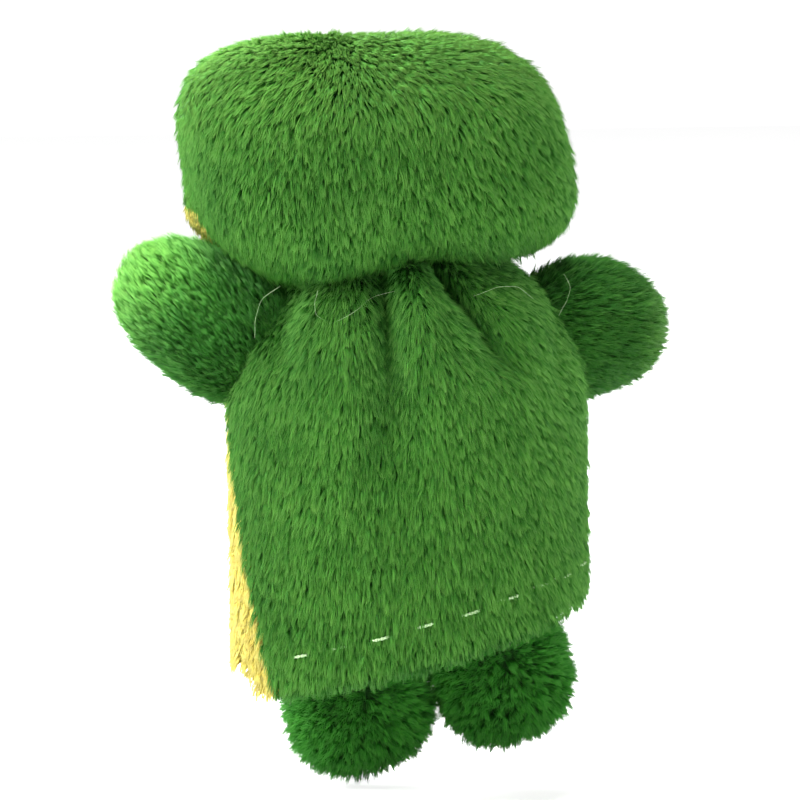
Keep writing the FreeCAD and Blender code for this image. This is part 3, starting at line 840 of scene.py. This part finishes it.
def make_head():
    """The head's three panels over its filling; returns the whole surface."""
    verts, faces = super_form(HEAD_HALF, 0.61, 0.62)
    up = verts[:, 2] / HEAD_HALF[2]
    verts[:, 0] = verts[:, 0] * (1 - 0.028 * up) + HEAD_SHEAR * up
    front = smooth(-verts[:, 1], 0, 8)
    verts[:, 0] *= 1 + 0.085 * front * smooth(-up, 0.1, 0.6)
    verts[:, 2] += 0.6 * verts[:, 0] / HEAD_HALF[0] * np.clip(up, 0, 1)
    verts[:, 2] -= 0.5 * bell(verts[:, 0], -1.0, 5.0) * smooth(up, 0.5, 1.0)
    verts[:, 2] -= 1.2 * bell(verts[:, 0], 9.0, 5.0) * smooth(-up, 0.4, 1.0)
    verts[:, 2] += 1.0 * bell(verts[:, 0], -5.0, 5.0) * smooth(-up, 0.4, 1.0)
    verts[:, 1] -= 1.4 * front * bell(verts[:, 2], -7.0, 4.5)

    def seams(p):
        held = np.where(np.abs(p[:, 1] - FACE_SEAM) < 0.45, 1.0, 0.0)
        jaw = (np.abs(p[:, 2] - jaw_z(p[:, 0])) < 0.45) & (p[:, 1] < FACE_SEAM)
        return np.where(jaw, 1.0, held)

    local, faces = stuffed("head_form", verts, faces, 0.75, seams, cap=1.2)
    verts, faces = head_to_row(local), padded(faces)
    middle = local[faces].mean(1)
    muzzle = (middle[:, 2] < jaw_z(middle[:, 0])) & (middle[:, 1] < FACE_SEAM)
    face = (middle[:, 2] >= jaw_z(middle[:, 0])) & (middle[:, 1] < FACE_SEAM)
    for word, picked, material, slot in (
        ("head_back", ~muzzle & ~face, GREEN_CLOTH, "green_pile"),
        ("head_face", face, GREEN_CLOTH, "green_pile"),
        ("muzzle", muzzle, YELLOW_CLOTH, "yellow_pile"),
    ):
        panel(f"{word}_cloth", verts, faces[picked], material, "head", slot, f"{word}_panel")
    surf = surface_of(verts, unpadded(faces))
    filling("head_filling", surf, 1.9, "head", "head_stuffing")
    return surf


def filling(name, surf, inset, body, node):
    """The fibre filling inside a cover: the cover's own form drawn in, with a lumpy surface."""
    lumps = waves(surf["v"], 71, 5.0)[:, None] * 0.35
    verts = surf["v"] - surf["n"] * (inset + lumps)
    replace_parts(build(name, verts, surf["f"], STUFFING, body, "stuffing"), node)


def panel(name, verts, faces, material, body, slot, node):
    """One panel of a stuffed cover, from padded faces."""
    verts, faces = only_used(verts, faces)
    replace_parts(build(name, verts, unpadded(faces), material, body, slot), node)


def limb_cover(body, verts, faces, front, slot):
    """The back and front panels of an arm or a foot with its filling; returns the whole surface."""
    for word, picked in (("back", faces[~front]), ("front", faces[front])):
        panel(f"{body}_{word}_cloth", verts, picked, GREEN_CLOTH, body, slot, f"{body}_{word}_panel")
    surf = surface_of(verts, unpadded(faces))
    filling(f"{body}_filling", surf, 1.4, body, f"{body}_stuffing")
    return surf


def head_comb(p):
    """The head's pile is parted over the forehead, brushed back and aside, and hangs down behind."""
    q = row_to_head(p)
    fall = smooth(-q[:, 2], -9.5, -3.0)
    aside = 0.11 * (q[:, 0] - 4.0) * (1 - 0.75 * fall) + 0.12 * waves(p, 12, 14.0)
    back = np.tanh((q[:, 1] + 3.5) / 1.5) * (1 - fall)
    return np.stack([aside, back, -(0.2 + fall)], 1)


def muzzle_comb(p):
    """The muzzle's pile hangs down and spreads a little to both sides."""
    q = row_to_head(p)
    return np.stack([q[:, 0] * 0.05, np.zeros(len(q)), -np.ones(len(q))], 1)


HEAD_STYLE = dict(
    per_mm2=48, lock=7, length=2.0, width=0.092, rise=16,
    rise_mess=7, curl=32, mess=8, uneven=0.14, cling=0.36,
)
HEAD_SHADE = ([-11.5, -7.0, 1.0, 7.0, 11.0], [0.36, 0.18, 0.14, -0.14, -0.36])  # heights, and painted shade by height: the lower head darker, painted light on the top where the lamps from above fall


def eye_bare(p):
    """True where the felt eyes leave room for pile."""
    clear = np.ones(len(p), bool)
    for word, _ in TWO_SIDES:
        low, high = node_box(f"{word}_eye_felt")
        middle, radius = (low + high) / 2, (high[0] - low[0]) / 2
        away = np.hypot(p[:, 0] - middle[0], p[:, 2] - middle[2])
        clear &= (away > radius * 0.9) | (p[:, 1] > 0)
    return clear


def head_pile(surf):
    back = lambda p: row_to_head(p)[:, 1] >= FACE_SEAM
    upper = lambda p: row_to_head(p)[:, 2] >= jaw_z(row_to_head(p)[:, 0])
    face = lambda p: ~back(p) & upper(p) & eye_bare(p)
    muzzle = lambda p: ~back(p) & ~upper(p)
    thin = lambda p: 1 - 0.6 * smooth(-row_to_head(p)[:, 2], 10.6, 11.6)

    # Painted shade low on the head and painted light on its top, with more painted light at the crown where
    # the strands part and show their roots.
    def shade(p):
        q = row_to_head(p)
        painted_parting_light = 0.2 * bell(q[:, 1], -3.5, 2.5) * smooth(q[:, 2], 6.0, 10.0)
        return np.interp(q[:, 2], *HEAD_SHADE) - painted_parting_light

    style = dict(HEAD_STYLE, thin=thin, shade=shade)
    pile("head_back_pile", surf, "head", GREEN, back, head_comb, style, 31)
    style = dict(HEAD_STYLE, per_mm2=28, length=1.6, width=0.13)
    pile("head_face_pile", surf, "head", GREEN, face, head_comb, style, 32)
    style = dict(HEAD_STYLE, per_mm2=26, length=1.6, width=0.13, rise=14)
    pile("muzzle_pile", surf, "head", YELLOW, muzzle, muzzle_comb, style, 33)


# ---- arms and feet ----

# Each arm's angles in degrees, its half sizes, how much it narrows, and how far its root is lifted.
ARMS = {
    "left": dict(side=1, raised=33.0, forward=10.0, length=10.0, height=6.7, taper=0.12, lift=0.0, seed=41),
    "right": dict(side=-1, raised=-6.5, forward=20.0, length=8.8, height=7.0, taper=0.24, lift=1.3, seed=42),
}
ARM_MIDDLE = 2.0  # from the shoulder to the middle of the arm's form
ARM_HALF_DEPTH = 4.5
ARM_SHADE = ([0.0, 4.5, 9.5, 11.0], [0.54, 0.46, 0.0, -0.1])  # reaches, and painted shade by reach: darkest at the root, where head and body shade the arm, and a little lighter at the hand
ARM_STYLE = dict(
    per_mm2=60, lock=5, length=2.0, width=0.078, rise=20,
    rise_mess=9, curl=24, mess=9, uneven=0.18, cling=0.26,
)


def arm_turn(word):
    """Turns an arm's own frame, where +X runs to the hand, into the row frame."""
    arm = ARMS[word]
    side = arm["side"]
    outward = rotation("Y", 0 if side > 0 else 180)
    return rotation("Z", -side * arm["forward"]) @ rotation("Y", -side * arm["raised"]) @ outward


def make_arm(word):
    """One arm: a flat stuffed form that tapers to the hand, with its pile brushed outward."""
    arm, body, shoulder = ARMS[word], f"{word}_arm", SHOULDER[word] * [0.98, 1, 1]
    verts, faces = super_form((arm["length"], ARM_HALF_DEPTH, arm["height"]), 0.78, 0.85)
    verts[:, 0] += ARM_MIDDLE
    out = verts[:, 0]
    verts[:, 2] *= 1 - arm["taper"] * smooth(out, -1.0, 11.5)
    verts[:, 1] *= 1 - 0.25 * smooth(-out, 0.0, 7.0)
    verts[:, 2] += arm["lift"] * smooth(-out, -5.0, 4.0)
    seams = lambda p: np.where(np.abs(p[:, 1]) < 0.4, 1.0, 0.0)
    verts, faces = stuffed(f"{body}_form", verts, faces, 0.6, seams, cap=0.8)
    turn = arm_turn(word)
    row = verts @ turn.T + shoulder
    faces = padded(faces)
    front = (row - shoulder)[faces].mean(1) @ turn[:, 1] < 0
    surf = limb_cover(body, row, faces, front, "green_pile")
    reach = lambda p: (p - shoulder) @ turn[:, 0]
    tuft = shoulder + turn @ np.array([ARM_MIDDLE + arm["length"], 0.0, -1.2])
    near_tuft = lambda p: bell(np.linalg.norm(p - tuft, axis=1), 0.0, 1.0)
    # The arm's pile carries painted shade at its root.
    style = dict(
        ARM_STYLE,
        shade=lambda p: np.interp(reach(p), *ARM_SHADE),
        short=lambda p: 1 + 0.5 * near_tuft(p),
    )
    comb = turn[:, 0] + np.array([0.0, 0.0, 0.35 if arm["side"] > 0 else 0.0])
    along_arm = lambda p: np.tile(comb, (len(p), 1))
    outer = lambda p: reach(p) > -6.0
    pile(f"{body}_pile", surf, body, GREEN, outer, along_arm, style, arm["seed"])


FEET = {
    "left": dict(half=(7.6, 4.4, 6.8), middle=(0.1, 0.9, -7.1), seed=51),
    "right": dict(half=(7.1, 4.4, 7.4), middle=(-0.2, 0.9, -7.5), seed=52),
}


FOOT_STYLE = dict(
    per_mm2=64, lock=7, length=1.85, width=0.074, rise=46,
    rise_mess=18, curl=14, mess=34, uneven=0.26, cling=0.42,
)


def make_foot(word):
    """One foot: a stuffed form that hangs from the hem, square to it, with ruffled pile."""
    foot, body, hinge = FEET[word], f"{word}_foot", FOOT_SEAM[word]
    turn = rotation("Y", HEM_TILT)
    middle = np.array(foot["middle"])
    verts, faces = super_form(foot["half"], 0.82, 0.88)
    verts = verts * 0.95 + middle
    seams = lambda p: np.where(np.abs(p[:, 1] - middle[1]) < 0.4, 1.0, 0.0)
    verts, faces = stuffed(f"{body}_form", verts, faces, 0.6, seams, cap=0.7)
    row = verts @ turn.T + hinge
    faces = padded(faces)
    front = verts[faces].mean(1)[:, 1] < middle[1]
    surf = limb_cover(body, row, faces, front, "dark_green_pile")
    # Painted shade on the upper foot, where the hem above shades it.
    style = dict(FOOT_STYLE, shade=lambda p: 0.22 * smooth(p[:, 2] - hinge[2], -5.5, 0.5))
    centre = middle @ turn.T + hinge
    spread = lambda p: (p - centre) * [1, 0.4, 1] + [0, 0, -2.0]
    everywhere = lambda p: np.ones(len(p), bool)
    pile(f"{body}_pile", surf, body, DARK_GREEN, everywhere, spread, style, foot["seed"])


# ---- threads that join the parts ----


def ring_path(middle, radius, normal):
    """A closed ring of points square to its normal."""
    a, b = (v[0] for v in across(unit(np.asarray(normal, float))[None]))
    angle = np.linspace(0, 2 * math.pi, 60)
    return middle + radius * (np.cos(angle)[:, None] * a + np.sin(angle)[:, None] * b)


SEWING_RADIUS = 0.22
FOOT_STITCH = 0.9
SIDE_STITCH = 2.3


def sewn_ring(name, middle, radius, normal, body, node):
    """A ring of sewing thread round a joint."""
    thread_piece(name, [ring_path(middle, radius, normal)], SEWING_RADIUS, SEWING, body, node)


def foot_stitches(hinge):
    """Small stitches along the hem, where a foot hangs from it."""
    paths = []
    for step in (-2, -1, 0, 1, 2):
        x = 1.6 * step
        start = hinge + [x, 0, -HEM_SLOPE * x - 0.24]
        halfway = start + [FOOT_STITCH / 2, 0, -HEM_SLOPE * FOOT_STITCH / 2 - 0.03]
        paths.append([start, halfway, start + [FOOT_STITCH, 0, -HEM_SLOPE * FOOT_STITCH]])
    return paths


def side_stitches(side):
    """Stitches up the inside of a side seam."""
    paths = []
    z = 22.0
    while z < 38:
        ends = []
        for height in (z, z + SIDE_STITCH):
            y = float(seam_y(side, np.array([height]))[0])
            x = side * 15.5 * math.sqrt(1 - (y / 10.0) ** 2)
            ends.append([x, y, height])
        paths.append(ends)
        z += 2.9
    return paths


def joining_threads():
    sewn_ring("neck_gathering", NECK - [0, 0, 2.5], 7.0, UP, "neck_gather", "neck_gather_thread")
    sewn_ring("neck_sewing", NECK + [0, 0, 0.7], 7.7, UP, "neck_sewing", "head_sewing_thread")
    for word, _ in TWO_SIDES:
        outward = arm_turn(word)[:, 0]
        middle = SHOULDER[word] + outward * 0.6
        sewn_ring(f"{word}_arm_sewing", middle, 4.36, outward, f"{word}_shoulder", f"{word}_arm_stitches")
        paths = foot_stitches(FOOT_SEAM[word])
        thread_piece(f"{word}_foot_sewing", paths, 0.14, GREEN_THREAD, "torso", f"{word}_foot_stitches")
    for word, side in TWO_SIDES:
        paths = side_stitches(side)
        thread_piece(f"{word}_side_seam", paths, 0.2, GREEN_THREAD, "torso", f"{word}_side_seam_thread")


# ---- face ----


BEAD_PROFILE = (  # radius and height, both in radii
    (0.0, 1.25),
    (0.35, 1.2),
    (0.65, 1.0),
    (0.88, 0.62),
    (1.0, 0.15),
    (0.97, -0.2),
    (0.8, -0.45),
    (0.0, -0.5),
)
MOUTH_HALF = 8.5
MOUTH_RISE = 2.4  # from the middle of the mouth to its corners


def make_face(surf):
    """Felt eyes with bead pupils, a stitched mouth and two nostril stitches, laid on the head's surface."""
    tree = ray_tree(surf)
    ahead = HEAD_TURN @ np.array([0.0, 1.0, 0.0])

    def on_face(aside, rise, proud):
        start = head_to_row(np.array([[aside, -30.0, rise]]))[0]
        hit, normal, _, _ = tree.ray_cast(Vector(start), Vector(ahead))
        return np.array(hit) + np.array(normal) * proud

    for word, _ in TWO_SIDES:
        low, high = node_box(f"{word}_eye_felt")
        aside, _, rise = row_to_head(((low + high) / 2)[None])[0]
        radius = (high[0] - low[0]) / 2 * 0.96
        felt = felt_disc(lambda x, z, proud: on_face(aside + x, rise + z, proud), radius)
        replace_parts(build(f"{word}_eye_disc", *felt, WHITE_FELT, "head", "white_felt"), f"{word}_eye_felt")
        low, high = node_box(f"{word}_pupil")
        radius = (high[0] - low[0]) / 2
        verts, faces = lathe([(r * radius, -h) for r, h in BEAD_PROFILE], 40)
        verts = verts @ HEAD_TURN.T + on_face(aside, rise, 1.2)
        bead = build(f"{word}_eye_bead", verts, faces, BLACK, "head", "black_plastic")
        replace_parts(bead, f"{word}_pupil")
    arc = []
    for step in np.linspace(-1, 1, 25):
        arc.append(on_face(MOUTH_HALF * step, -8.6 + MOUTH_RISE * step**2, 1.5))
    thread_piece("mouth_stitch", [arc], 0.3, DARK_THREAD, "head", "mouth_stitching")
    nostrils = []
    for side in (-1, 1):
        nostrils.append([on_face(side * 2.1 + dx, -0.4 + 0.3 * dx * side, 1.3) for dx in (-0.6, 0.0, 0.6)])
    thread_piece("nostril_stitching", nostrils, 0.32, DARK_THREAD, "head", "nostril_stitches")


def felt_disc(place, radius):
    """A cut disc of felt laid on the face: a slightly domed top, a soft rim and a flat underside."""
    rings, around = 7, 44
    layers = [(radius * (i / rings), 1.15 - 0.12 * (i / rings) ** 3) for i in range(1, rings + 1)]
    layers += [(radius * 1.02, 0.75), (radius, 0.35)]
    verts, faces = [place(0.0, 0.0, 1.15)], []
    for r, proud in layers:
        for angle in np.linspace(0, 2 * math.pi, around, endpoint=False):
            uneven = 1 + 0.006 * math.sin(9 * angle) + 0.004 * math.sin(23 * angle)
            verts.append(place(r * uneven * math.cos(angle), r * uneven * math.sin(angle), proud))
    verts.append(place(0.0, 0.0, 0.3))
    for j in range(around):
        k = (j + 1) % around
        faces.append((0, 1 + j, 1 + k))
        for i in range(len(layers) - 1):
            a, b = 1 + i * around, 1 + (i + 1) * around
            faces.append((a + j, b + j, b + k, a + k))
        last = 1 + (len(layers) - 1) * around
        faces.append((last + k, last + j, len(verts) - 1))
    return np.array(verts), faces


def lathe(profile, around):
    """A form turned round the Y axis, from (radius, y) pairs."""
    angle = np.linspace(0, 2 * math.pi, around, endpoint=False)
    verts = []
    for radius, y in profile:
        r = max(radius, 0.01)
        verts += [(r * math.cos(a), y, r * math.sin(a)) for a in angle]
    faces = grid_faces(len(profile), around)
    faces.append(tuple(range(around))[::-1])
    faces.append(tuple((len(profile) - 1) * around + j for j in range(around)))
    return np.array(verts), faces


# ---- stage ----


FLOOR = -(HEM_MIDDLE + 2.1) * MM
MIDDLE = Vector((0.45 * MM, 0.0, (41.3 - HEM_MIDDLE) * MM))  # the middle of the picture
LIGHTS = (  # name, place, size and power
    ("key", (0.40, 0.06, 0.30), 0.30, 4.6),
    ("top", (0.08, 0.04, 0.55), 0.30, 7.5),
    ("fill", (-0.42, 0.30, 0.10), 0.35, 0.9),
    ("front", (0.1, -0.5, 0.30), 0.35, 2.8),
)
CAMERA_TURN, CAMERA_RISE = math.radians(166), math.radians(6)
CAMERA_AWAY = 0.62
CAMERA_SENSOR = 36.0
PICTURE_WIDTH = 0.0856  # how wide a strip the camera sees at the puppet, in metres


def area_light(name, place, size, power):
    """A soft round light aimed at the puppet."""
    data = bpy.data.lights.new(name, "AREA")
    data.shape, data.size, data.energy = "DISK", size, power
    obj = bpy.data.objects.new(name, data)
    obj.location = place
    obj.rotation_euler = (MIDDLE - Vector(place)).to_track_quat("-Z", "Y").to_euler()
    bpy.context.scene.collection.objects.link(obj)


def glow_for_camera(tree, strength):
    """A strength that only the camera sees, so that a pale ground gives the puppet no light of its own."""
    path = tree.nodes.new("ShaderNodeLightPath")
    scale = tree.nodes.new("ShaderNodeMath")
    scale.operation, scale.inputs[1].default_value = "MULTIPLY", strength
    tree.links.new(path.outputs["Is Camera Ray"], scale.inputs[0])
    return scale.outputs[0]


def make_floor():
    """A pale ground of fine squares."""
    reach, steps = 1.2, 24
    verts = [
        (reach * (2 * i / steps - 1), reach * (2 * j / steps - 1), FLOOR)
        for i in range(steps + 1)
        for j in range(steps + 1)
    ]
    faces = []
    for i in range(steps):
        for j in range(steps):
            a = i * (steps + 1) + j
            faces.append((a, a + steps + 1, a + steps + 2, a + 1))
    mesh = bpy.data.meshes.new("floor")
    mesh.from_pydata(verts, [], faces)
    mat, tree, shader = nodes_of("floor", 0.9, 0.0)
    noise = tree.nodes.new("ShaderNodeTexNoise")
    noise.inputs["Scale"].default_value = 40.0
    colour = ramp(tree, [(0.0, (0.80, 0.80, 0.80)), (1.0, (0.84, 0.84, 0.84))])
    tree.links.new(noise.outputs["Fac"], colour.inputs["Fac"])
    tree.links.new(colour.outputs["Color"], shader.inputs["Base Color"])
    shader.inputs["Emission Color"].default_value = (1, 1, 1, 1)
    tree.links.new(glow_for_camera(tree, 0.72), shader.inputs["Emission Strength"])
    new_object("floor", mesh, mat)


def make_world():
    """A white room that lights softly; the camera sees it white."""
    world = bpy.data.worlds.new("studio")
    bpy.context.scene.world = world
    world.use_nodes = True
    tree = world.node_tree
    tree.nodes["Background"].inputs["Color"].default_value = (1, 1, 1, 1)
    add = tree.nodes.new("ShaderNodeMath")
    add.inputs[1].default_value = 0.22
    tree.links.new(glow_for_camera(tree, 0.9), add.inputs[0])
    tree.links.new(add.outputs[0], tree.nodes["Background"].inputs["Strength"])


def make_stage():
    make_floor()
    make_world()
    for light in LIGHTS:
        area_light(*light)


def make_camera():
    level = math.cos(CAMERA_RISE)
    back = Vector((math.sin(CAMERA_TURN) * level, -math.cos(CAMERA_TURN) * level, math.sin(CAMERA_RISE)))
    data = bpy.data.cameras.new("camera")
    data.sensor_width = CAMERA_SENSOR
    data.lens = CAMERA_SENSOR * CAMERA_AWAY / PICTURE_WIDTH
    obj = bpy.data.objects.new("camera", data)
    obj.location = MIDDLE + back * CAMERA_AWAY
    obj.rotation_euler = back.to_track_quat("Z", "Y").to_euler()
    bpy.context.scene.collection.objects.link(obj)
    bpy.context.scene.camera = obj
    bpy.context.scene.view_settings.view_transform = "Standard"


def main():
    body = make_body()
    body_pile(body)
    hem_stitches()
    head = make_head()
    head_pile(head)
    make_face(head)
    for word, _ in TWO_SIDES:
        make_arm(word)
        make_foot(word)
    joining_threads()
    stray_fibres(body)
    make_stage()
    make_camera()


main()
